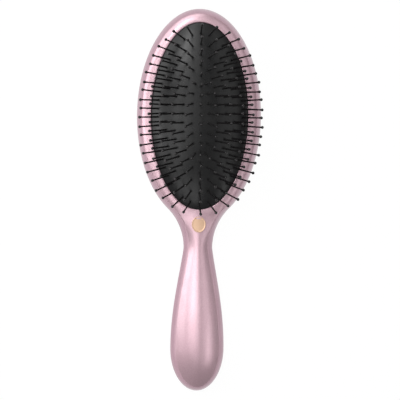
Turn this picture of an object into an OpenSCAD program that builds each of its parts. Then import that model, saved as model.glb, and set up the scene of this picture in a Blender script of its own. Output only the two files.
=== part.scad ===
// Cushion brush for detangling hair: two plastic shells, a domed rubber cushion clamped between
// the front shell and a tray, and rows of ball-tipped pins that pass through the cushion.
// The brush lies on its back. X runs across it, Y towards the top of the head, Z up the pins.

/* [Overall] */
// Length from the butt of the handle to the top of the head
overall_l = 226; // [200:1:275]
// Width of the oval head
head_w = 73; // [60:0.5:88]
// Length of the oval head
head_l = 125.3; // [116:0.1:140]

/* [Handle] */
// Width of the neck where it is narrowest
neck_w = 16.9; // [14:0.1:21]
// Angle round the head's oval, below its widest place, where the neck begins
neck_join = 60; // [58:1:64]
// Width of the grip where it is widest
grip_w = 31.7; // [26:0.1:38.1]
// Length of the rounded butt behind the widest place of the grip
butt_l = 25.5; // [22:0.5:34]
// How late the handle widens: 1 is soon, larger is later
flare_power = 1.15; // [1.1:0.05:1.6]

/* [Heights] */
// Height of the plane where the two shells meet
split_h = 6.5; // [5.5:0.1:8]
// Height of the bezel at the cushion
bezel_h = 15.5; // [14.8:0.1:18]
// Height of the bezel at its outer edge
head_edge_h = 14.6; // [13.6:0.1:15.2]
// Height of the neck on its centre line
neck_h = 14.4; // [13:0.1:16]
// Height of the neck at its edges
neck_edge_h = 12.6; // [11.5:0.1:14]
// Height of the grip on its centre line
grip_h = 17; // [14.2:0.1:20.4]
// Height of the grip at its edges
grip_edge_h = 12.8; // [11.5:0.1:15]
// How far the back of the neck arches up from the table
neck_lift = 2; // [1:0.1:3]

/* [Shells] */
// Wall of both shells
wall = 2.2; // [1.8:0.1:2.7]
// Radius that rolls the front's edge over
edge_r = 2.2; // [1.5:0.1:2.7]
// How far the sides lean in between the parting plane and the rolled edge
edge_draft = 2.3; // [1.9:0.1:2.7]
// How far in the back is rounded, where the shell is wide
back_round = 16; // [10:0.5:20]
// Diameter of the pegs that line the shells up
peg_d = 4; // [3:0.1:4.8]
// How far a peg reaches into its socket
peg_l = 2.6; // [2:0.1:3]
// Diameter of the posts that carry the tray
post_d = 5; // [4:0.1:6]

/* [Cushion] */
// Width of the bezel round the cushion at the sides
bezel_side_w = 8.3; // [6.9:0.1:10]
// Width of the bezel round the cushion at the ends
bezel_end_w = 8.2; // [6.8:0.1:9.8]
// How far the dome rises above the bezel
crown_h = 7; // [5.8:0.1:8.4]
// Thickness of the rubber
rubber_t = 1.4; // [1.1:0.1:1.7]
// How far the rubber's flange reaches under the bezel
flange_w = 3; // [2.4:0.1:3.4]
// Thickness of the tray's floor
tray_floor_t = 1.6; // [1.2:0.1:1.9]
// Depth of the tray
tray_depth = 2; // [1.6:0.1:2.4]
// Diameter of the breathing hole in the tray
vent_d = 3; // [2:0.5:5]

/* [Pins] */
// Length of a pin that shows above the rubber
pin_l = 17.5; // [14.5:0.1:21]
// Diameter of a pin at its root
pin_d = 1.1; // [0.9:0.05:1.35]
// Diameter of a pin below its ball
pin_neck_d = 0.85; // [0.7:0.05:0.9]
// Diameter of the ball at the tip
ball_d = 1.8; // [1.5:0.1:2.2]
// Diameter of the flat root under the rubber
root_d = 2; // [1.7:0.1:2.4]
// Thickness of the flat root
root_t = 0.8; // [0.6:0.1:1]
// Distance at the sides from the opening to the outermost pins
ring_inset_w = 3.6; // [3.4:0.1:5.5]
// Distance at the ends from the opening to the outermost pins
ring_inset_l = 5.1; // [4.9:0.1:6.1]
// How far the rings sit towards the handle
ring_shift = 1.4; // [0:0.1:2.5]
// Greatest sideways lean, from root to tip
lean_side = 11.5; // [0:0.1:14]
// Distance from the centre line in which the lean builds up
lean_reach = 13; // [8:0.5:16]
// Lean along the brush at the ends of the outermost ring
lean_end = 5; // [0:0.1:6]
// Extra lean of the innermost ring's pins towards the handle, greatest half way along
inner_droop = 1; // [0:0.1:2]
// Unevenness of the lean from pin to pin
lean_wander = 0.4; // [0:0.1:0.6]

/* [Badge] */
// Width of the bare oval badge on the neck
badge_w = 8.2; // [6.8:0.1:9.8]
// Length of the badge
badge_l = 9.4; // [7.8:0.1:11.3]
// Thickness of the badge
badge_t = 1.3; // [1:0.1:1.6]
// Depth of the badge's seat below the neck's surface
badge_sink = 1; // [0.8:0.1:1.2]
// Distance from the opening to the badge's centre
badge_drop = 8.7; // [8:0.1:10.5]

/* [Clearances] */
// Gap between the rubber's dome and the edge of its opening
dome_gap = 0.3; // [0.2:0.05:0.5]
// Gap between the edge of the rubber's flange and the bezel above it
flange_gap = 0.25; // [0.2:0.05:0.4]
// Least gap between the edge of the rubber's flange and the wall of the front shell
flange_side_gap = 0.4; // [0.3:0.1:0.6]
// Gap all round a pin in its hole
hole_gap = 0.1; // [0.05:0.01:0.15]
// Gap between a pin's flat root and the rubber
root_gap = 0.3; // [0.2:0.05:0.4]
// Gap round a peg in its socket
peg_gap = 0.15; // [0.1:0.05:0.25]
// Gap round the badge in its seat
badge_gap = 0.1; // [0.05:0.05:0.2]

/* [Hidden] */
$fn = 48;

pink = [0.9, 0.66, 0.69];
rubber_black = [0.13, 0.13, 0.13];
pin_black = [0.08, 0.08, 0.08];
gold = [0.86, 0.7, 0.5];

// The outline: an oval head, an arc that draws in to the neck, a flare and a half-oval butt.
head_rx = head_w / 2;
head_ry = head_l / 2;
head_y = overall_l / 2 - head_ry;
join_x = head_rx * cos(neck_join);
join_y = head_y - head_ry * sin(neck_join);
join_out = unit([cos(neck_join) / head_rx, -sin(neck_join) / head_ry]);
neck_r = (join_x - neck_w / 2) / (1 - join_out.x);
neck_hub = [join_x, join_y] + neck_r * join_out;
join_turn = acos(join_out.x);
neck_y = neck_hub.y;
grip_rx = grip_w / 2;
grip_y = butt_l - overall_l / 2;

// The opening in the head, and the turn of the neck's arc whose line in meets its lower end.
opening_rx = head_rx - bezel_side_w;
opening_ry = head_ry - bezel_end_w;
opening_end = head_y - opening_ry;
lip_turn = atan((opening_end - neck_y) / neck_hub.x);

// How far behind the widest place of the grip its crown runs level, as a share of the butt.
butt_foot_share = 0.2;

// How finely the outline and the sections are drawn.
head_steps = 30;
lip_steps = 4;
neck_steps = 5;
flare_steps = 9;
butt_steps = 8;
roll_steps = 3;
face_steps = 5;
inner_steps = 3;
back_steps = 5;

// Sag of the back below the table's plane, cut off flat.
belly = 0.3;
overrun = 1;

// Levels inside the head. The flange lies below the underside of the bezel, which falls away
// from the opening, and is no wider than the room there.
bezel_room = min(bezel_side_w, bezel_end_w) - edge_draft - wall;
flange_reach = min(flange_w, bezel_room - flange_side_gap);
flange_place = 1 - flange_reach / bezel_room;
rubber_top = mix(head_edge_h, bezel_h, rise(flange_place)) - wall - flange_gap;
rubber_low = rubber_top - rubber_t;
tray_low = rubber_low - tray_depth - tray_floor_t;

// The rubber is an upright skirt inside the opening that cuts off a wider ellipsoid at the level
// of the bezel.
dome_spread_share = 1.06;
skirt_rx = opening_rx - dome_gap;
skirt_ry = opening_ry - dome_gap;
dome_rx = skirt_rx * dome_spread_share;
dome_ry = skirt_ry * dome_spread_share;
dome_rz = crown_h / (1 - sqrt(1 - 1 / pow(dome_spread_share, 2)));
dome_z = bezel_h + crown_h - dome_rz;

// Places of the pegs down the handle, as shares of the way from neck to butt.
peg_shares = [0.1, 0.42, 0.8];
// Places of the tray's posts, as shares of the opening's half width and half length.
post_shares = [[0, 0.8], [0.68, 0.36], [0.68, -0.36], [0, -0.8]];
boss_wall = 1.4;
peg_end_gap = 0.4;

// Pins in each ring, from the innermost out, and in the centre row, which is ring 0. From ring
// to ring the half width and the half length grow by these shares of the outermost ring's.
ring_counts = [18, 26, 34, 42, 48];
rings = len(ring_counts);
ring_step_shares = [0.2, 0.123];
outer_r = [opening_rx - ring_inset_w, opening_ry - ring_inset_l];
centre_count = 8;
centre_reach = ring_r(0).y;
arc_steps = 90;
// How much the pins at the sides gather towards the top, as a share of the way down a side.
gather_share = 0.017;
// How the lean along the brush builds up: steadily, and more steeply near the ends.
steady_share = 0.6;
// Where the taper below a ball begins, in ball diameters from the tip.
tear_share = 1.9;
tear_end_share = 0.8;
// Turns that scatter the unevenness from pin to pin.
wander_turns = [137, 211];

function unit(v) = v / norm(v);
function mix(a, b, t) = a + (b - a) * t;
function clamp01(t) = min(max(t, 0), 1);
function smooth(t) = let (c = clamp01(t)) c * c * (3 - 2 * c);
function rise(t) = 1 - (1 - t) * (1 - t);

// A height along the brush, from its values at the head, the neck and the grip.
function level(head_v, neck_v, grip_v, y) =
    y > neck_y
    ? mix(neck_v, head_v, smooth((y - neck_y) / (opening_end - neck_y)))
    : mix(neck_v, grip_v, smooth((neck_y - y) / (neck_y - grip_y)));
function crown_at(y) = level(bezel_h, neck_h, grip_h, y);
function edge_at(y) = level(head_edge_h, neck_edge_h, grip_edge_h, y);
function back_at(y) = level(0, neck_lift, 0, y);

// A station is a point of the outline, the direction in from it, and the height on the centre
// line that its section runs to.
function head_station(a) =
    [[head_rx * cos(a), head_y + head_ry * sin(a)],
     unit([-cos(a) / head_rx, -sin(a) / head_ry]),
     head_y + (head_ry - head_rx * head_rx / head_ry) * sin(a)];
function neck_station(a) =
    [neck_hub + neck_r * [-cos(a), sin(a)],
     [-cos(a), sin(a)],
     neck_y + neck_hub.x * tan(a)];
function flare_station(u) =
    let (half = neck_w / 2 + (grip_rx - neck_w / 2) * pow(sin(90 * u), flare_power),
         y = mix(neck_y, grip_y, u),
         growth = flare_power * pow(sin(90 * u), flare_power - 1) * cos(90 * u) * PI / 2,
         slope = (grip_rx - neck_w / 2) * growth / (grip_y - neck_y))
    [[half, y], unit([-1, slope]), y + slope * half];
function butt_station(a) =
    [[grip_rx * cos(a), grip_y - butt_l * sin(a)],
     unit([-cos(a) / grip_rx, sin(a) / butt_l]),
     grip_y - butt_foot_share * butt_l * sin(a)];

stations = concat(
    [for (i = [0:head_steps]) head_station(90 - (90 + neck_join) * i / head_steps)],
    [for (i = [1:lip_steps]) neck_station(mix(join_turn, lip_turn, i / lip_steps))],
    [for (i = [1:neck_steps]) neck_station(lip_turn * (1 - i / neck_steps))],
    [for (i = [1:flare_steps]) flare_station(i / flare_steps)],
    [for (i = [1:butt_steps]) butt_station(90 * i / butt_steps)]);
lip_last = head_steps + lip_steps;

// Where a station's line enters the opening.
function on_opening(p, dir) =
    let (from = p - [0, head_y],
         a = pow(dir.x / opening_rx, 2) + pow(dir.y / opening_ry, 2),
         b = from.x * dir.x / pow(opening_rx, 2) + from.y * dir.y / pow(opening_ry, 2),
         c = pow(from.x / opening_rx, 2) + pow(from.y / opening_ry, 2) - 1)
    p - dir * (b + sqrt(b * b - a * c)) / a;

function at(xy, z) = [xy.x, xy.y, z];

// How far from upright the side leans where it runs straight into the rolled edge of the given
// height.
function side_lean(edge) =
    let (climb = edge - edge_r - split_h, out = edge_draft + edge_r)
    acos(edge_r / norm([out, climb])) - atan2(climb, out);
// The rolled edge ends at slope e: how far in from the outline and how far below the edge.
function roll_end(e) = [edge_draft + edge_r * (1 - sin(e)), edge_r * (1 - cos(e))];
// The slope at which a face that climbs from the edge over the given way runs on smoothly from
// the rolled edge, found by some rounds from a first guess.
function face_slope(climb, way, e = 0, rounds = 3) =
    let (end = roll_end(e))
    rounds == 0 ? e
                : face_slope(climb, way, atan(2 * (climb + end.y) / (way - end.x)), rounds - 1);

// The front shell's section at station i: up the side, over the rolled edge and the face, down
// the lip or the centre line, and back along the inside.
function front_section(i) =
    let (p = stations[i][0],
         dir = stations[i][1],
         foot = i < lip_last ? on_opening(p, dir) : [0, stations[i][2]],
         edge = edge_at(p.y),
         crown = crown_at(foot.y),
         lean_in = side_lean(edge),
         slope = face_slope(crown - edge, norm(foot - p)),
         end = roll_end(slope),
         inner = p + dir * (edge_draft + wall))
    concat(
        [at(p, split_h)],
        [for (k = [0:roll_steps])
            let (a = mix(lean_in, 90 - slope, k / roll_steps))
            at(p + dir * (edge_draft + edge_r * (1 - cos(a))), edge - edge_r * (1 - sin(a)))],
        [for (k = [1:face_steps])
            let (f = k / face_steps)
            at(mix(p + dir * end.x, foot, f), mix(edge - end.y, crown, rise(f)))],
        [for (k = [inner_steps:-1:0])
            let (f = k / inner_steps)
            at(mix(inner, foot, f), mix(edge, crown, rise(f)) - wall)],
        [at(p + dir * wall, split_h)]);

// The back shell's section at station i: round the back to the centre line and back inside.
function back_section(i) =
    let (p = stations[i][0],
         dir = stations[i][1],
         foot = [0, stations[i][2]],
         reach = norm(foot - p),
         flat_from = mix(p, foot, back_round / (back_round + reach)),
         low = back_at(p.y),
         keel = back_at(foot.y) - belly)
    concat(
        [for (k = [0:back_steps])
            let (a = 90 * k / back_steps)
            at(mix(p, flat_from, 1 - cos(a)), mix(split_h, low, sin(a)))],
        [at(mix(flat_from, foot, 0.5), mix(low, keel, rise(0.5))),
         at(foot, keel),
         at(foot, keel + belly + wall)],
        [for (k = [back_steps:-1:0])
            let (a = 90 * k / back_steps)
            at(mix(p + dir * wall, flat_from, 1 - cos(a)), mix(split_h, low + wall, sin(a)))]);

// A closed skin through the sections of all stations and their mirror images. Past station
// open_last, segment cut_at of a section runs down the centre line and has no face. Four-sided
// faces are split along the diagonal that leaves no triangle flat on the centre plane. The
// faces look outwards when first_side is -1 for sections that run up the side, 1 for down.
module skin(sections, cut_at, open_last, first_side) {
    count = len(sections);
    ring = len(sections[0]);
    points = [for (side = [first_side, -first_side]) for (s = sections) for (p = s)
                  [side * p.x, p.y, p.z]];
    faces = [
        for (i = [0:count - 2])
            for (j = [0:ring - 1])
                if (j != cut_at || i < open_last)
                    let (next = (j + 1) % ring,
                         quad = [i * ring + j, i * ring + next,
                                 (i + 1) * ring + next, (i + 1) * ring + j],
                         turned = (j < cut_at) == (i < count / 2))
                    for (tri = turned ? [[0, 1, 3], [1, 2, 3]] : [[0, 1, 2], [0, 2, 3]])
                        for (side = [0, 1])
                            let (corners = [for (c = tri) quad[c] + side * count * ring])
                            side == 0 ? corners : [corners[0], corners[2], corners[1]]];
    polyhedron(points = points, faces = faces, convexity = 10);
}

module oval(rx, ry, h) {
    scale([rx, ry, 1]) cylinder(r = 1, h = h);
}

// The space inside the skirt, inset all round by t, from level z up to the dome.
module dome_body(t, z) {
    intersection() {
        translate([0, 0, z]) oval(skirt_rx - t, skirt_ry - t, bezel_h + crown_h + overrun - z);
        translate([0, 0, dome_z]) scale([dome_rx - t, dome_ry - t, dome_rz - t]) sphere(r = 1);
    }
}

function peg_y(share) = mix(neck_y, -overall_l / 2, share);
badge_y = opening_end - badge_drop;
badge_z = crown_at(badge_y) - badge_sink;

module front_shell() {
    color(pink) difference() {
        union() {
            skin([for (i = [0:len(stations) - 1]) front_section(i)],
                 1 + roll_steps + face_steps, lip_last, -1);
            for (share = peg_shares) let (y = peg_y(share))
                translate([0, y, split_h - peg_l])
                    cylinder(d = peg_d, h = crown_at(y) - wall / 2 - split_h + peg_l);
        }
        translate([0, badge_y, badge_z])
            oval(badge_w / 2 + badge_gap, badge_l / 2 + badge_gap, badge_sink + overrun);
    }
}

module back_shell() {
    color(pink) difference() {
        union() {
            skin([for (i = [0:len(stations) - 1]) back_section(i)], back_steps + 2, 0, 1);
            for (share = peg_shares) let (y = peg_y(share), low = back_at(y) + wall / 2)
                translate([0, y, low]) cylinder(d = peg_d + 2 * peg_gap + 2 * boss_wall,
                                                h = split_h - low);
            for (s = post_shares) for (side = s.x > 0 ? [1, -1] : [1])
                translate([side * s.x * opening_rx, head_y + s.y * opening_ry, wall / 2])
                    cylinder(d = post_d, h = tray_low - wall / 2);
        }
        for (share = peg_shares)
            translate([0, peg_y(share), split_h - peg_l - peg_end_gap])
                cylinder(d = peg_d + 2 * peg_gap, h = peg_l + peg_end_gap + overrun);
        translate([-head_w, -overall_l, -belly - overrun])
            cube([2 * head_w, 2 * overall_l, belly + overrun]);
    }
}

module cushion_body() {
    difference() {
        union() {
            translate([0, 0, rubber_low])
                oval(opening_rx + flange_reach, opening_ry + flange_reach, rubber_t);
            dome_body(0, rubber_low);
        }
        dome_body(rubber_t, rubber_low - overrun);
    }
}

// Ring k of pins, from 1 at the centre out: half width and half length of its oval.
function ring_r(k) = [outer_r.x * (1 - (rings - k) * ring_step_shares.x),
                      outer_r.y * (1 - (rings - k) * ring_step_shares.y)];

// Way round a quarter of an oval, as pairs of the way run and the angle reached.
function quarter(r, a = 0, way = 0) =
    let (step = 90 / arc_steps,
         run = norm([r.x * (cos(a + step) - cos(a)), r.y * (sin(a + step) - sin(a))]))
    a >= 90 ? [[way, 90]] : concat([[way, a]], quarter(r, a + step, way + run));

// Roots of the pins of one ring, spaced nearly evenly round its oval.
function ring_roots(k) =
    let (r = ring_r(k),
         table = quarter(r),
         whole = table[len(table) - 1][0],
         count = ring_counts[k - 1])
    [for (i = [0:count - 1])
        let (down = 2 * i / count,
             moved = down - gather_share * min(down, 2 - down) * sin(180 * down),
             way = 2 * whole * moved + whole,
             turn = floor(way / whole),
             part = way - turn * whole,
             a = turn % 2 == 0 ? lookup(part, table) : 180 - lookup(whole - part, table),
             full = turn % 2 == 0 ? a + 90 * turn : a + 90 * (turn - 1))
        [r.x * cos(full), r.y * sin(full) - ring_shift]];
function centre_roots() =
    [for (i = [0:centre_count - 1])
        [0, mix(centre_reach, -centre_reach, i / (centre_count - 1)) - ring_shift]];

// Rises from -1 to 1, fastest at 0.
function level_off(t) = 1 - 2 / (exp(2 * t) + 1);

// How far a pin's tip lies from its root, seen from the front.
function lean(xy, n, droop) =
    let (end_part = xy.y / outer_r.y,
         along = steady_share * end_part + (1 - steady_share) * end_part * pow(abs(end_part), 3),
         middle_part = 1 - pow(xy.y / ring_r(1).y, 2))
    [lean_side * level_off(xy.x / lean_reach) + lean_wander * sin(n * wander_turns.x),
     lean_end * along - droop * middle_part + lean_wander * sin(n * wander_turns.y)];

function dome_at(xy) = dome_rz * sqrt(1 - pow(xy.x / dome_rx, 2) - pow(xy.y / dome_ry, 2));

// Turns a Z axis into direction v.
module aim(v) {
    rotate([0, acos(v.z / norm(v)), atan2(v.y, v.x)]) children();
}

// Depth of a pin's flat root below the dome, which grows with the angle between the two.
function root_depth(xy, dir) =
    let (out = unit([xy.x / pow(dome_rx, 2), xy.y / pow(dome_ry, 2),
                     dome_at(xy) / pow(dome_rz, 2)]),
         facing = dir * out,
         tilt = sqrt(1 - facing * facing) / facing)
    rubber_t / facing + tilt * root_d / 2 + root_gap;

function pin_dir(tip) = unit([tip.x, tip.y, sqrt(pin_l * pin_l - tip * tip)]);

module at_root(xy, dir) {
    translate([xy.x, xy.y, dome_z + dome_at(xy)]) aim(dir) children();
}

module pin(depth) {
    ball_z = pin_l - ball_d / 2;
    tear_z = pin_l - ball_d * tear_share;
    rotate_extrude()
        polygon([[0, -depth - root_t], [root_d / 2, -depth - root_t], [root_d / 2, -depth],
                 [pin_d / 2, -depth], [pin_neck_d / 2, tear_z],
                 [tear_end_share * ball_d / 2, ball_z], [0, ball_z]]);
    translate([0, 0, ball_z]) sphere(d = ball_d);
}

// The roots of ring k, or of the centre row, and the droop of their pins.
function roots_of(k) = k == 0 ? centre_roots() : ring_roots(k);
function droop_of(k) = k == 1 ? inner_droop : 0;

module pins(k) {
    roots = roots_of(k);
    color(pin_black) translate([0, head_y, 0])
        for (n = [0:len(roots) - 1]) let (dir = pin_dir(lean(roots[n], n, droop_of(k))))
            at_root(roots[n], dir) pin(root_depth(roots[n], dir));
}

module pin_holes(k) {
    roots = roots_of(k);
    for (n = [0:len(roots) - 1])
        let (dir = pin_dir(lean(roots[n], n, droop_of(k))), depth = root_depth(roots[n], dir))
            at_root(roots[n], dir) translate([0, 0, -depth - root_t])
                cylinder(d = pin_d + 2 * hole_gap, h = depth + root_t + 2 * overrun);
}

module cushion() {
    color(rubber_black) translate([0, head_y, 0]) difference() {
        cushion_body();
        for (k = [0:rings]) pin_holes(k);
    }
}

module cushion_tray() {
    rx = opening_rx + flange_reach;
    ry = opening_ry + flange_reach;
    color(rubber_black) translate([0, head_y, tray_low]) difference() {
        oval(rx, ry, tray_depth + tray_floor_t);
        translate([0, 0, tray_floor_t])
            oval(skirt_rx - rubber_t, skirt_ry - rubber_t, tray_depth + overrun);
        translate([0, 0, -overrun]) cylinder(d = vent_d, h = tray_floor_t + 2 * overrun);
    }
}

module badge() {
    color(gold) translate([0, badge_y, badge_z]) oval(badge_w / 2, badge_l / 2, badge_t);
}

front_shell();
back_shell();
cushion();
cushion_tray();
badge();
pins(0);  // pins_centre
pins(1);  // pins_ring_1
pins(2);  // pins_ring_2
pins(3);  // pins_ring_3
pins(4);  // pins_ring_4
pins(5);  // pins_ring_5
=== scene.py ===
"""A detangling brush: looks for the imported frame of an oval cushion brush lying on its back."""

import math

import bmesh
import bpy
from mathutils import Matrix, Vector


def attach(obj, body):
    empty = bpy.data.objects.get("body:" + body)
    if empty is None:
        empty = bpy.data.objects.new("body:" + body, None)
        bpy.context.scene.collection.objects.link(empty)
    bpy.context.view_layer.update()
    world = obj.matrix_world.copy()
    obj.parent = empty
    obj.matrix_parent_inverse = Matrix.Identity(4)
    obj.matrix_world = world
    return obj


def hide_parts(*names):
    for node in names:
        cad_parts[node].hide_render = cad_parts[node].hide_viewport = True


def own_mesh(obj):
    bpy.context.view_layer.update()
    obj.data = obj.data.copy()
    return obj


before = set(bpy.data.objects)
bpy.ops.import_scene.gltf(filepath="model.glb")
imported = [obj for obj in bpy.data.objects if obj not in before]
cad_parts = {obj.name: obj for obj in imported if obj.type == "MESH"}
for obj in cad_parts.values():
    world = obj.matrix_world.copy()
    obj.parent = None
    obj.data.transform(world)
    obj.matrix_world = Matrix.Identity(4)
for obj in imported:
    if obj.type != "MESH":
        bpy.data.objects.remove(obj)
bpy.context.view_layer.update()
mm = 0.001


# The front shell: a frame round the cushion and the front of the neck and grip in one piece,
# injection moulded in pearl pink plastic with a satin lustre. Its lower edge meets the back
# shell at the parting plane, and three pegs inside the handle press into the back.
head_rx, head_ry, head_y = 36.5 * mm, 62.65 * mm, 50.35 * mm
neck_join = math.radians(60)
neck_half = 8.45 * mm
grip_rx, grip_y = 15.85 * mm, -87.5 * mm
flare_power = 1.15
butt_l, butt_foot = 25.5 * mm, 0.2
bezel_side, bezel_end = 8.3 * mm, 8.2 * mm
opening_rx, opening_ry = head_rx - bezel_side, head_ry - bezel_end
opening_end = head_y - opening_ry
head_crown, neck_crown, grip_crown = 15.5 * mm, 14.4 * mm, 17 * mm
head_edge, neck_edge, grip_edge = 14.6 * mm, 12.6 * mm, 12.8 * mm
parting, seam, wall = 6.5 * mm, 0.12 * mm, 2.2 * mm
edge_r, edge_draft, side_bow = 2.2 * mm, 2.3 * mm, 0.3 * mm
lip_r = 0.55 * mm
head_steps, shoulder_steps, waist_steps, flare_steps, butt_steps = 96, 12, 16, 40, 32
side_steps, roll_steps, face_steps, lip_steps, inside_steps = 8, 12, 16, 5, 8
lip_last, lip_fade = head_steps + shoulder_steps, 6
peg_shares, peg_r, peg_dip = (0.1, 0.42, 0.8), 2 * mm, 2.6 * mm
weld, tiny = 1e-6, 1e-7


def mix(a, b, t):
    """From a at 0 to b at 1."""
    return a + (b - a) * t


def smooth(t):
    """Level at 0 and at 1, and steepest between."""
    t = min(max(t, 0), 1)
    return t * t * (3 - 2 * t)


def rise(t):
    """Steep at first and level at the end, as the face climbs to its crown."""
    return 1 - (1 - t) ** 2


join_out = Vector((math.cos(neck_join) / head_rx, -math.sin(neck_join) / head_ry)).normalized()
join = Vector((head_rx * math.cos(neck_join), head_y - head_ry * math.sin(neck_join)))
neck_r = (join.x - neck_half) / (1 - join_out.x)
neck_hub = join + neck_r * join_out
neck_y = neck_hub.y
join_turn = math.acos(join_out.x)
lip_turn = math.atan((opening_end - neck_y) / neck_hub.x)


def level(head, neck, grip, y):
    """A height along the brush, from its heights at the head, the neck and the grip."""
    if y > neck_y:
        return mix(neck, head, smooth((y - neck_y) / (opening_end - neck_y)))
    return mix(neck, grip, smooth((neck_y - y) / (neck_y - grip_y)))


def crown_at(y):
    return level(head_crown, neck_crown, grip_crown, y)


def edge_at(y):
    return level(head_edge, neck_edge, grip_edge, y)


def outline():
    """Down the right side: a point of the outline, the way in from it, and how far down the
    centre line that way leads."""
    def head(a):
        return (Vector((head_rx * math.cos(a), head_y + head_ry * math.sin(a))),
                Vector((-math.cos(a) / head_rx, -math.sin(a) / head_ry)).normalized(),
                head_y + (head_ry - head_rx ** 2 / head_ry) * math.sin(a))

    def neck(a):
        way = Vector((-math.cos(a), math.sin(a)))
        return neck_hub + neck_r * way, way, neck_y + neck_hub.x * math.tan(a)

    def flare(u):
        s, c = math.sin(math.pi / 2 * u), math.cos(math.pi / 2 * u)
        half = neck_half + (grip_rx - neck_half) * s ** flare_power
        growth = flare_power * s ** (flare_power - 1) * c * math.pi / 2 if u else 0
        slope = (grip_rx - neck_half) * growth / (grip_y - neck_y)
        y = mix(neck_y, grip_y, u)
        return Vector((half, y)), Vector((-1, slope)).normalized(), y + slope * half

    def butt(a):
        return (Vector((grip_rx * math.cos(a), grip_y - butt_l * math.sin(a))),
                Vector((-math.cos(a) / grip_rx, math.sin(a) / butt_l)).normalized(),
                grip_y - butt_foot * butt_l * math.sin(a))

    turn = math.pi / 2 + neck_join
    return ([head(math.pi / 2 - turn * i / head_steps) for i in range(head_steps + 1)]
            + [neck(mix(join_turn, lip_turn, i / shoulder_steps))
               for i in range(1, shoulder_steps + 1)]
            + [neck(lip_turn * (1 - i / waist_steps)) for i in range(1, waist_steps + 1)]
            + [flare(i / flare_steps) for i in range(1, flare_steps + 1)]
            + [butt(math.pi / 2 * i / butt_steps) for i in range(1, butt_steps + 1)])


stations = outline()


def on_opening(p, way):
    """Where a line in from the outline reaches the edge of the cushion's opening."""
    q = Vector((p.x, p.y - head_y))
    a = (way.x / opening_rx) ** 2 + (way.y / opening_ry) ** 2
    b = q.x * way.x / opening_rx ** 2 + q.y * way.y / opening_ry ** 2
    c = (q.x / opening_rx) ** 2 + (q.y / opening_ry) ** 2 - 1
    return p - way * (b + math.sqrt(max(b * b - a * c, 0))) / a


def side_curve(edge):
    """How far from upright the bowed side leans where it runs on into the rolled edge, and on
    average, with its length. Each round starts from the turn that the last one found."""
    turn = 0
    for _ in range(8):
        in_by = edge_draft + edge_r * (1 - math.cos(turn))
        climb = edge - edge_r * (1 - math.sin(turn)) - parting
        lean_in, length = math.atan2(in_by, climb), math.hypot(in_by, climb)
        turn = lean_in + 4 * side_bow / length
    return turn, lean_in, length


def face_slope(climb, way):
    """The slope at which the face runs on smoothly from the rolled edge, found in rounds."""
    slope = 0
    for _ in range(5):
        in_by, down_by = edge_r * (1 - math.sin(slope)), edge_r * (1 - math.cos(slope))
        slope = math.atan(2 * (climb + down_by) / (way - edge_draft - in_by))
    return slope


def climb_on(height, y, way, length):
    """What a section still has to climb where it ends, so that its mirror image meets it
    without a crease."""
    step = 0.05 * mm
    return (height(y + step) - height(y - step)) / (2 * step) * way.y * length


def front_section(i):
    """One cut through the front shell: up the side, over the rolled edge and the face, round
    the lip and back along the inside."""
    p, way, foot_y = stations[i]
    foot = on_opening(p, way) if i < lip_last else Vector((0, foot_y))
    lip = lip_r * smooth((lip_last - i) / lip_fade)
    edge, crown = edge_at(p.y), crown_at(foot.y)
    inner = p + way * (edge_draft + wall)
    face_end = foot - way * lip
    first, lean_in, length = side_curve(edge)
    last = math.pi / 2 - face_slope(crown - edge, (foot - p).length)
    roll = []
    for k in range(roll_steps + 1):
        a = mix(first, last, k / roll_steps)
        roll.append((p + way * (edge_draft + edge_r * (1 - math.cos(a))),
                     edge - edge_r * (1 - math.sin(a))))
    start, start_z = roll[-1]
    cut = [(p + way * (wall - seam), parting), (p + way * seam, parting), (p, parting + seam)]
    for k in range(1, side_steps):
        f = k / side_steps
        bow = 4 * side_bow * f * (1 - f)
        cut.append((p + way * (length * f * math.sin(lean_in) - bow * math.cos(lean_in)),
                    parting + length * f * math.cos(lean_in) + bow * math.sin(lean_in)))
    cut += roll
    still = climb_on(crown_at, foot.y, way, (face_end - start).length) if i >= lip_last else 0
    for k in range(1, face_steps + 1):
        f = k / face_steps
        cut.append((start.lerp(face_end, f),
                    mix(start_z, crown, rise(f)) + still * f * f * (f - 1)))
    for k in range(1, lip_steps + 1):
        a = math.pi / 2 * k / lip_steps
        cut.append((face_end + way * lip * math.sin(a), crown - lip * (1 - math.cos(a))))
    for k in range(inside_steps, -1, -1):
        f = k / inside_steps
        cut.append((inner.lerp(foot, f), mix(edge, crown, rise(f)) - wall))
    return cut + cut[:1]


def shell_mesh(sections):
    """Bends a flat grid through the sections, and mirrors it across the brush."""
    bm = bmesh.new()
    rows, columns = len(sections) - 1, len(sections[0]) - 1
    bmesh.ops.create_grid(bm, x_segments=rows, y_segments=columns, size=1)
    for v in bm.verts:
        i, j = round((v.co.x + 1) / 2 * rows), round((v.co.y + 1) / 2 * columns)
        p, z = sections[i][j]
        v.co = (p.x if abs(p.x) > tiny else 0, p.y, max(z, 0))
    bmesh.ops.remove_doubles(bm, verts=bm.verts, dist=weld)
    between = [f for f in bm.faces if all(abs(v.co.x) < tiny for v in f.verts)]
    bmesh.ops.delete(bm, geom=between, context="FACES")
    bmesh.ops.mirror(bm, geom=bm.verts[:] + bm.edges[:] + bm.faces[:], axis="X",
                     merge_dist=weld)
    bmesh.ops.remove_doubles(bm, verts=bm.verts, dist=weld)
    bmesh.ops.dissolve_degenerate(bm, edges=bm.edges, dist=tiny)
    bmesh.ops.recalc_face_normals(bm, faces=bm.faces)
    return bm


def add_rod(bm, x, y, low, top, radius):
    """Adds an upright round rod, as the pegs and posts are."""
    bmesh.ops.create_cone(bm, cap_ends=True, segments=24, radius1=radius, radius2=radius,
                          depth=top - low, matrix=Matrix.Translation((x, y, (low + top) / 2)))


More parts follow.
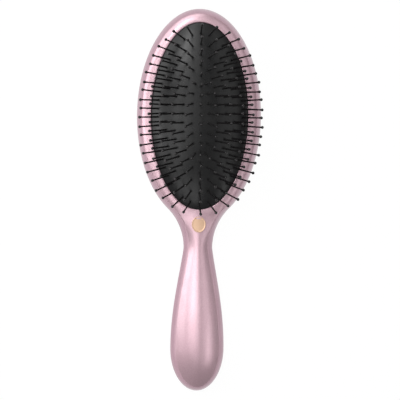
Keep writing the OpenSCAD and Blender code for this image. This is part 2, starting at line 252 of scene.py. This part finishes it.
def finished(name, bm, crease=40):
    """Makes an object of the mesh, smooth but for edges sharper than crease degrees."""
    for f in bm.faces:
        f.smooth = True
    for e in bm.edges:
        e.smooth = not (len(e.link_faces) == 2
                        and e.calc_face_angle(0) > math.radians(crease))
    mesh = bpy.data.meshes.new(name)
    bm.to_mesh(mesh)
    bm.free()
    obj = bpy.data.objects.new(name, mesh)
    bpy.context.scene.collection.objects.link(obj)
    return obj


bm = shell_mesh([front_section(i) for i in range(len(stations))])
for share in peg_shares:
    peg_y = mix(neck_y, grip_y - butt_l, share)
    add_rod(bm, 0, peg_y, parting - peg_dip, crown_at(peg_y) - wall / 2, peg_r)
front = finished("front_shell_pearl", bm)


def grain_group():
    """Fine unevenness of a moulded surface: a mask, and a height for a bump."""
    group = bpy.data.node_groups.new("moulded grain", "ShaderNodeTree")
    group.interface.new_socket("Size", in_out="INPUT", socket_type="NodeSocketFloat")
    group.interface.new_socket("Mask", in_out="OUTPUT", socket_type="NodeSocketFloat")
    group.interface.new_socket("Height", in_out="OUTPUT", socket_type="NodeSocketFloat")
    nodes, links = group.nodes, group.links
    inlet, outlet = nodes.new("NodeGroupInput"), nodes.new("NodeGroupOutput")
    place = nodes.new("ShaderNodeTexCoord")
    broad, fine = nodes.new("ShaderNodeTexNoise"), nodes.new("ShaderNodeTexNoise")
    broad.inputs["Scale"].default_value = 90
    broad.inputs["Detail"].default_value = 3
    fine.inputs["Detail"].default_value = 2
    links.new(place.outputs["Object"], broad.inputs["Vector"])
    links.new(place.outputs["Object"], fine.inputs["Vector"])
    links.new(inlet.outputs["Size"], fine.inputs["Scale"])
    links.new(broad.outputs["Fac"], outlet.inputs["Mask"])
    links.new(fine.outputs["Fac"], outlet.inputs["Height"])
    return group


grain = grain_group()


def shader(material):
    """The material's nodes, its links and its main shader."""
    material.use_nodes = True
    return (material.node_tree.nodes, material.node_tree.links,
            material.node_tree.nodes["Principled BSDF"])


def with_grain(material, size, depth, low, high):
    """Adds the moulded grain: it wavers the roughness from low to high and dents the surface
    by up to depth. Returns the grain's mask."""
    nodes, links, main = shader(material)
    node = nodes.new("ShaderNodeGroup")
    node.node_tree = grain
    node.inputs["Size"].default_value = size
    rough = nodes.new("ShaderNodeMapRange")
    rough.inputs["From Min"].default_value = 0.3
    rough.inputs["From Max"].default_value = 0.7
    rough.inputs["To Min"].default_value = low
    rough.inputs["To Max"].default_value = high
    bump = nodes.new("ShaderNodeBump")
    bump.inputs["Distance"].default_value = depth
    links.new(node.outputs["Mask"], rough.inputs["Value"])
    links.new(rough.outputs["Result"], main.inputs["Roughness"])
    links.new(node.outputs["Height"], bump.inputs["Height"])
    links.new(bump.outputs["Normal"], main.inputs["Normal"])
    return node.outputs["Mask"]


def blended(material, factor, first, second, how="MIX"):
    """Blends the first colour, plain or another node's, with the second by the factor."""
    nodes, links, _ = shader(material)
    node = nodes.new("ShaderNodeMix")
    node.data_type = "RGBA"
    node.blend_type = how
    links.new(factor, node.inputs["Factor"])
    if isinstance(first, tuple):
        node.inputs["A"].default_value = (*first, 1)
    else:
        links.new(first, node.inputs["A"])
    node.inputs["B"].default_value = (*second, 1)
    return node.outputs["Result"]


def pearl_pink():
    """Pink plastic full of fine mica, lighter and darker from flake to flake. Where it is seen at
    a slant its colour is multiplied towards a darker pink. Part of this is the pearl's own flop,
    and part is painted shade standing in for the dark band that the rolled edges reflect."""
    material = bpy.data.materials.new("pearl pink plastic")
    nodes, links, main = shader(material)
    mask = with_grain(material, size=2600, depth=0.004 * mm, low=0.33, high=0.40)
    place = nodes.new("ShaderNodeTexCoord")
    flakes = nodes.new("ShaderNodeTexVoronoi")
    flakes.inputs["Scale"].default_value = 3200
    split = nodes.new("ShaderNodeSeparateColor")
    slant = nodes.new("ShaderNodeLayerWeight")
    # How far the surface is seen at a slant. This sets the share of the painted edge shade.
    painted_edge_shade_share = nodes.new("ShaderNodeMapRange")
    painted_edge_shade_share.interpolation_type = "SMOOTHSTEP"
    painted_edge_shade_share.inputs["From Min"].default_value = 0.26
    painted_edge_shade_share.inputs["From Max"].default_value = 0.5
    links.new(place.outputs["Object"], flakes.inputs["Vector"])
    links.new(flakes.outputs["Color"], split.inputs["Color"])
    links.new(slant.outputs["Facing"], painted_edge_shade_share.inputs["Value"])
    mica = blended(material, split.outputs["Red"], (0.78, 0.515, 0.590), (0.88, 0.615, 0.685))
    clouded = blended(material, mask, mica, (0.93, 0.90, 0.91), "MULTIPLY")
    # Painted shade: the colour is multiplied darker where the surface is seen at a slant. This is
    # partly the pearl's flop and partly the dark band on the rolled edges.
    flop_and_painted_edge_shade = blended(material, painted_edge_shade_share.outputs["Result"], clouded, (0.62, 0.54, 0.59), "MULTIPLY")
    links.new(flop_and_painted_edge_shade, main.inputs["Base Color"])
    main.inputs["Metallic"].default_value = 0.62
    main.inputs["Coat Weight"].default_value = 0.6
    main.inputs["Coat Roughness"].default_value = 0.16
    return material


pink = pearl_pink()
front.data.materials.append(pink)
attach(front, "body")
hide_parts("front_shell")


# The back shell: a shallow dish of the same pearl pink plastic, flat where the brush lies and
# arched up under the neck. Posts in it carry the cushion's tray, and sockets take the front's
# pegs. The two shells are pressed and bonded together along the parting plane.
back_round, neck_arch, keel_sag = 16 * mm, 2 * mm, 0.3 * mm
round_steps, belly_steps, hollow_round_steps = 16, 8, 8
post_shares = ((0, 0.8), (0.68, 0.36), (-0.68, 0.36), (0.68, -0.36), (-0.68, -0.36), (0, -0.8))
post_r, post_top = 2.5 * mm, 7.6 * mm


def belly_at(y):
    return level(0, neck_arch, 0, y)


def keel_at(y):
    return belly_at(y) - keel_sag


def back_section(i):
    """One cut through the back shell: round the back to the centre line and back inside."""
    p, way, foot_y = stations[i]
    foot = Vector((0, foot_y))
    flat = p.lerp(foot, back_round / (back_round + (foot - p).length))
    low, keel = belly_at(p.y), keel_at(foot.y)
    still = climb_on(keel_at, foot.y, way, (foot - flat).length)
    cut = [(p + way * (wall - seam), parting), (p + way * seam, parting)]
    for k in range(round_steps + 1):
        a = math.pi / 2 * k / round_steps
        z = mix(parting, low, math.sin(a)) - (seam if k == 0 else 0)
        cut.append((p.lerp(flat, 1 - math.cos(a)), z))
    for k in range(1, belly_steps + 1):
        f = k / belly_steps
        cut.append((flat.lerp(foot, f), mix(low, keel, rise(f)) + still * f * f * (f - 1)))
    for k in range(belly_steps):
        f = k / belly_steps
        cut.append((foot.lerp(flat, f), mix(keel + keel_sag, low, f) + wall))
    for k in range(hollow_round_steps, 0, -1):
        a = math.pi / 2 * k / hollow_round_steps
        cut.append(((p + way * wall).lerp(flat, 1 - math.cos(a)),
                    mix(parting, low + wall, math.sin(a))))
    return cut + cut[:1]


bm = shell_mesh([back_section(i) for i in range(len(stations))])
for across, along in post_shares:
    add_rod(bm, across * opening_rx, head_y + along * opening_ry, wall / 2, post_top, post_r)
back = finished("back_shell_pearl", bm)
back.data.materials.append(pink)
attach(back, "body")
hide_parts("back_shell")


# The cushion: a thin dome of black rubber, moulded in one piece. Its rim is clamped between the
# bezel and the tray, and it gives by a few millimetres under the pins. Each pin stands in a hole
# with a slight raised lip.
skirt_gap, skirt_drop, skirt_z = 0.3 * mm, 0.6 * mm, 13.2 * mm
skirt_rx, skirt_ry = opening_rx - skirt_gap, opening_ry - skirt_gap
bezel_z, crown_z = head_crown, 22.5 * mm
dome_share, hollow_share = 1.06, 1.03
dome_rx, dome_ry = skirt_rx * dome_share, skirt_ry * dome_share
dome_rz = (crown_z - bezel_z) / (1 - math.sqrt(1 - 1 / dome_share ** 2))
dome_z = crown_z - dome_rz
rubber_t = 1.4 * mm
dome_steps, hollow_steps, dome_sides = 70, 12, 420
hole_lip_r, hole_lip_top_r, hole_lip_h = 0.95 * mm, 0.7 * mm, 0.5 * mm
rim_side, rim_end = 3.6 * mm, 5.1 * mm
outer_r = Vector((opening_rx - rim_side, opening_ry - rim_end))
ring_counts, row_count = (18, 26, 34, 42, 48), 8
ring_in_x, ring_in_y, ring_shift = 0.2, 0.123, 1.4 * mm
gather, way_steps = 0.017, 360


def dome_at(x, y):
    """Height of the rubber over a place that is given from the middle of the head."""
    return dome_z + dome_rz * math.sqrt(1 - (x / dome_rx) ** 2 - (y / dome_ry) ** 2)


def ring_r(k):
    """Half the width and length of ring k. The last one is the outermost."""
    inward = len(ring_counts) - k
    return Vector((outer_r.x * (1 - ring_in_x * inward), outer_r.y * (1 - ring_in_y * inward)))


def roots_of(k):
    """Places of the pins of ring k round its oval, or of the row down the middle. The pins at
    the sides gather a little towards the top of the head."""
    r = ring_r(k)
    if k == 0:
        return [Vector((0, mix(r.y, -r.y, i / (row_count - 1)) - ring_shift))
                for i in range(row_count)]
    turns = [math.pi / 2 + 2 * math.pi * i / way_steps for i in range(way_steps + 1)]
    points = [Vector((r.x * math.cos(a), r.y * math.sin(a) - ring_shift)) for a in turns]
    ways = [0]
    for a, b in zip(points, points[1:]):
        ways.append(ways[-1] + (b - a).length)
    found, at = [], 0
    for i in range(ring_counts[k - 1]):
        down = 2 * i / ring_counts[k - 1]
        way = ways[-1] / 2 * (down - gather * min(down, 2 - down) * math.sin(math.pi * down))
        while ways[at + 1] < way:
            at += 1
        f = (way - ways[at]) / (ways[at + 1] - ways[at])
        found.append(points[at].lerp(points[at + 1], f))
    return found


def turned(profile, steps):
    """Turns a profile of radius and height once round the Z axis, as on a lathe."""
    bm = bmesh.new()
    verts = [bm.verts.new((r, 0, z)) for r, z in profile]
    edges = [bm.edges.new(pair) for pair in zip(verts, verts[1:])]
    bmesh.ops.spin(bm, geom=verts + edges, cent=(0, 0, 0), axis=(0, 0, 1), dvec=(0, 0, 0),
                   angle=2 * math.pi, steps=steps, use_merge=True)
    bmesh.ops.remove_doubles(bm, verts=bm.verts, dist=weld)
    return bm


dome_profile = []
for k in range(dome_steps + 1):
    share = math.sin(math.pi / 2 * k / dome_steps)
    dome_profile.append((share, dome_z + dome_rz * math.sqrt(1 - (share / dome_share) ** 2)))
skirt_in = 1 - rubber_t / skirt_rx
dome_profile += [(1, bezel_z - skirt_drop), (1, skirt_z), (skirt_in, skirt_z)]
for k in range(hollow_steps + 1):
    share = skirt_in * (1 - k / hollow_steps)
    hollow_rz = (dome_rz - rubber_t) * math.sqrt(1 - (share / hollow_share) ** 2)
    dome_profile.append((share, dome_z + hollow_rz))
bm = turned(dome_profile, dome_sides)
bmesh.ops.scale(bm, vec=(skirt_rx, skirt_ry, 1), verts=bm.verts)
for k in range(len(ring_counts) + 1):
    for place in roots_of(k):
        z = dome_at(place.x, place.y)
        up = Vector((place.x / dome_rx ** 2, place.y / dome_ry ** 2, (z - dome_z) / dome_rz ** 2))
        turn = up.to_track_quat("Z", "Y").to_matrix().to_4x4()
        bmesh.ops.create_cone(bm, cap_ends=True, segments=14, radius1=hole_lip_r,
                              radius2=hole_lip_top_r, depth=hole_lip_h,
                              matrix=Matrix.Translation((place.x, place.y, z)) @ turn)
bmesh.ops.translate(bm, vec=(0, head_y, 0), verts=bm.verts)
bmesh.ops.recalc_face_normals(bm, faces=bm.faces)
cushion = finished("cushion_rubber", bm, crease=50)


def moulded_black(name, dark, light, size, depth, low, high):
    """A moulded black finish that wavers from dark to light along with its grain."""
    material = bpy.data.materials.new(name)
    _, links, main = shader(material)
    mask = with_grain(material, size, depth, low, high)
    links.new(blended(material, mask, dark, light), main.inputs["Base Color"])
    return material


rubber = moulded_black("black rubber", (0.007, 0.007, 0.008), (0.012, 0.012, 0.012),
                       size=1800, depth=0.012 * mm, low=0.26, high=0.34)
_, _, main = shader(rubber)
main.inputs["Specular IOR Level"].default_value = 0.52
cushion.data.materials.append(rubber)
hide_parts("cushion")
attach(cushion, "body")
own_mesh(cushion)


# The pins: smooth black nylon, each moulded with a ball at its tip and a flat head that holds it
# under the rubber. They stand in five ovals round a short middle row and lean outwards, more
# towards the edges. Each oval sinks by its own share when the cushion is pressed.
pin_l, pin_r, neck_pin_r, ball_r = 17.5 * mm, 0.55 * mm, 0.425 * mm, 0.9 * mm
ball_foot, ball_steps, pin_sides = -52, 4, 8
taper_from, taper_end = 0.1 * mm, 3.4 * mm
root_r, root_t, root_dip = 1 * mm, 0.8 * mm, 1.9 * mm
side_lean, side_spread, end_lean, end_share = 11.5 * mm, 13 * mm, 5 * mm, 0.4
ring_1_droop, waver, waver_x, waver_y = 1 * mm, 0.4 * mm, 137, 211


def lean(place, n, droop):
    """How far a pin's tip lies from its root, seen from the front. A waver that turns by so
    many degrees from pin to pin stands for the unevenness of real ones."""
    part = place.y / outer_r.y
    along = mix(part, part * abs(part) ** 3, end_share)
    middle = 1 - (place.y / ring_r(1).y) ** 2
    return Vector((side_lean * math.tanh(place.x / side_spread)
                   + waver * math.sin(math.radians(waver_x * n)),
                   end_lean * along - droop * middle
                   + waver * math.sin(math.radians(waver_y * n))))


def pin_form():
    """One pin on the Z axis, where it leaves the rubber at the origin."""
    profile = [(0, -root_dip - root_t), (root_r, -root_dip - root_t), (root_r, -root_dip),
               (pin_r, -root_dip), (pin_r, taper_from), (neck_pin_r, pin_l - taper_end)]
    for k in range(ball_steps + 1):
        a = math.radians(mix(ball_foot, 90, k / ball_steps))
        profile.append((ball_r * math.cos(a), pin_l - ball_r + ball_r * math.sin(a)))
    bm = turned(profile, pin_sides)
    bmesh.ops.recalc_face_normals(bm, faces=bm.faces)
    return bm


nylon = moulded_black("black nylon", (0.006, 0.005, 0.006), (0.012, 0.010, 0.011),
                      size=1200, depth=0.006 * mm, low=0.2, high=0.3)
one = pin_form()
pattern = bpy.data.meshes.new("pin")
one.to_mesh(pattern)
one.free()
for k in range(len(ring_counts) + 1):
    bm = bmesh.new()
    for n, place in enumerate(roots_of(k)):
        tip = lean(place, n, ring_1_droop if k == 1 else 0)
        way = Vector((tip.x, tip.y, math.sqrt(pin_l ** 2 - tip.length_squared)))
        seat = Vector((place.x, head_y + place.y, dome_at(place.x, place.y)))
        before = set(bm.verts)
        bm.from_mesh(pattern)
        new = [v for v in bm.verts if v not in before]
        turn = way.to_track_quat("Z", "Y").to_matrix().to_4x4()
        bmesh.ops.transform(bm, matrix=Matrix.Translation(seat) @ turn, verts=new)
    node = "pins_centre" if k == 0 else f"pins_ring_{k}"
    pins = finished(f"{node}_nylon", bm, crease=50)
    pins.data.materials.append(nylon)
    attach(pins, "centre_pins" if k == 0 else f"ring_{k}_pins")
    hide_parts(node)
bpy.data.meshes.remove(pattern)


# The badge on the neck: a small oval button stamped from brass and plated rose gold, left bare.
# It has a rolled rim and a slightly crowned face, and is pressed into a seat in the front shell.
# Its profile is given as shares of its radius, and heights in mm.
badge_rx, badge_ry, badge_sides = 4.1 * mm, 4.7 * mm, 72
badge_way, seat_depth = 8.7 * mm, 1 * mm
badge_y = opening_end - badge_way
badge_z = crown_at(badge_y) - seat_depth
badge_profile = ((0, 0), (0.95, 0), (1, 0.2), (1, 1.12), (0.985, 1.24), (0.95, 1.3),
                 (0.91, 1.28), (0.88, 1.2), (0.86, 1.14), (0.8, 1.15), (0.5, 1.22),
                 (0.25, 1.26), (0, 1.27))
bm = turned([(share, z * mm) for share, z in badge_profile], badge_sides)
bmesh.ops.scale(bm, vec=(badge_rx, badge_ry, 1), verts=bm.verts)
bmesh.ops.recalc_face_normals(bm, faces=bm.faces)
bmesh.ops.translate(bm, vec=(0, badge_y, badge_z), verts=bm.verts)
badge = finished("badge_button", bm, crease=50)


def rose_gold():
    """Stamped metal with a fine turned finish, plated rose gold."""
    material = bpy.data.materials.new("rose gold plate")
    nodes, links, main = shader(material)
    with_grain(material, size=900, depth=0.004 * mm, low=0.28, high=0.4)
    place = nodes.new("ShaderNodeTexCoord")
    centre = nodes.new("ShaderNodeMapping")
    centre.inputs["Location"].default_value = (0, -badge_y, 0)
    rings = nodes.new("ShaderNodeTexWave")
    rings.wave_type = "RINGS"
    rings.rings_direction = "Z"
    rings.inputs["Scale"].default_value = 1500
    rings.inputs["Distortion"].default_value = 0.4
    links.new(place.outputs["Object"], centre.inputs["Vector"])
    links.new(centre.outputs["Vector"], rings.inputs["Vector"])
    plate = blended(material, rings.outputs["Fac"], (0.88, 0.56, 0.37), (0.93, 0.64, 0.44))
    links.new(plate, main.inputs["Base Color"])
    main.inputs["Metallic"].default_value = 0.45
    return material


badge.data.materials.append(rose_gold())
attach(badge, "body")
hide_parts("badge")


# The tray: a matt black moulded dish under the cushion, on the back's posts, that clamps the
# rubber's rim and lets its air out through one hole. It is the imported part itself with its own
# material.
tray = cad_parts["cushion_tray"]
tray.data.materials.clear()
tray.data.materials.append(
    moulded_black("matt black plastic", (0.02, 0.02, 0.02), (0.035, 0.035, 0.035),
                  size=1400, depth=0.02 * mm, low=0.45, high=0.6))


# The studio: a floor that shows white but keeps the brush's shadow, windows on the left and
# beyond the head, softboxes overhead, a fill on the right, small cards that light the neck and
# the handle, and the camera almost straight above.
floor_grey, glow_share, glow_strength = (0.45, 0.45, 0.45, 1), 0.92, 1.06
bm = bmesh.new()
bmesh.ops.create_grid(bm, x_segments=1, y_segments=1, size=3)
floor = finished("floor", bm)
floor.data.materials.append(bpy.data.materials.new("pale floor"))
nodes, links, main = shader(floor.data.materials[0])
main.inputs["Base Color"].default_value = floor_grey
glow = nodes.new("ShaderNodeEmission")
seen = nodes.new("ShaderNodeLightPath")
choose = nodes.new("ShaderNodeMixShader")
white_for = seen.outputs["Is Camera Ray"]
for kind in ("Is Glossy Ray", "Is Transmission Ray"):
    either = nodes.new("ShaderNodeMath")
    either.operation = "MAXIMUM"
    links.new(white_for, either.inputs[0])
    links.new(seen.outputs[kind], either.inputs[1])
    white_for = either.outputs["Value"]
most = nodes.new("ShaderNodeMath")
most.operation = "MULTIPLY"
most.inputs[1].default_value = glow_share
links.new(white_for, most.inputs[0])
links.new(most.outputs["Value"], choose.inputs["Fac"])
glow.inputs["Strength"].default_value = glow_strength
links.new(main.outputs["BSDF"], choose.inputs[1])
links.new(glow.outputs["Emission"], choose.inputs[2])
links.new(choose.outputs["Shader"], nodes["Material Output"].inputs["Surface"])

scene = bpy.context.scene
scene.view_settings.view_transform = "Standard"
world = bpy.data.worlds.new("room")
scene.world = world
world.use_nodes = True
world.node_tree.nodes["Background"].inputs["Color"].default_value = (1, 1, 1, 1)
world.node_tree.nodes["Background"].inputs["Strength"].default_value = 0.18


def soft_light(name, place, aim, size, power):
    """A soft rectangular lamp that doesn't show itself."""
    lamp = bpy.data.lights.new(name, "AREA")
    lamp.shape = "RECTANGLE"
    lamp.size, lamp.size_y = size
    lamp.energy = power
    obj = bpy.data.objects.new(name, lamp)
    obj.location = place
    obj.rotation_euler = (Vector(aim) - Vector(place)).to_track_quat("-Z", "Y").to_euler()
    obj.visible_camera = False
    scene.collection.objects.link(obj)


soft_light("window on the left", (-0.89, 0.3, 0.46), (0, 0.03, 0), (1.0, 0.8), 4.6)
soft_light("window beyond the head", (-0.25, 0.9, 0.5), (0, 0.08, 0), (0.7, 0.5), 1.8)
soft_light("softbox overhead", (-0.22, 0.4, 0.93), (0, 0.4, 0), (1.0, 0.46), 1.5)
soft_light("top of the softbox", (-0.27, 0.56, 0.87), (0, 0.56, 0), (0.5, 0.22), 1.8)
soft_light("fill on the right", (0.56, 0.25, 0.82), (0, 0.25, 0), (1.2, 0.5), 1.15)
soft_light("card beside the neck", (-0.14, 0.0, 0.2), (0, -0.01, 0.01), (0.1, 0.2), 0.08)
soft_light("card over the shoulder", (-0.04, -0.065, 0.13), (-0.04, -0.065, 0), (0.1, 0.07),
           0.027)
soft_light("card beside the handle", (0.2, -0.14, 0.2), (0, -0.08, 0.01), (0.1, 0.1), 0.035)

eye = Vector((-0.04, 0.07, 0.9))
target = Vector((1.0, 0.9, 6.5)) * mm
shown_width, tilt = 236.2 * mm, math.radians(0.55)
lens = bpy.data.cameras.new("camera")
lens.lens = lens.sensor_width * (eye - target).length / shown_width
camera = bpy.data.objects.new("camera", lens)
camera.location = eye
gaze = (target - eye).normalized()
across = gaze.cross(Vector((-math.sin(tilt), math.cos(tilt), 0))).normalized()
camera.rotation_euler = Matrix((across, across.cross(gaze), -gaze)).transposed().to_euler()
scene.collection.objects.link(camera)
scene.camera = camera
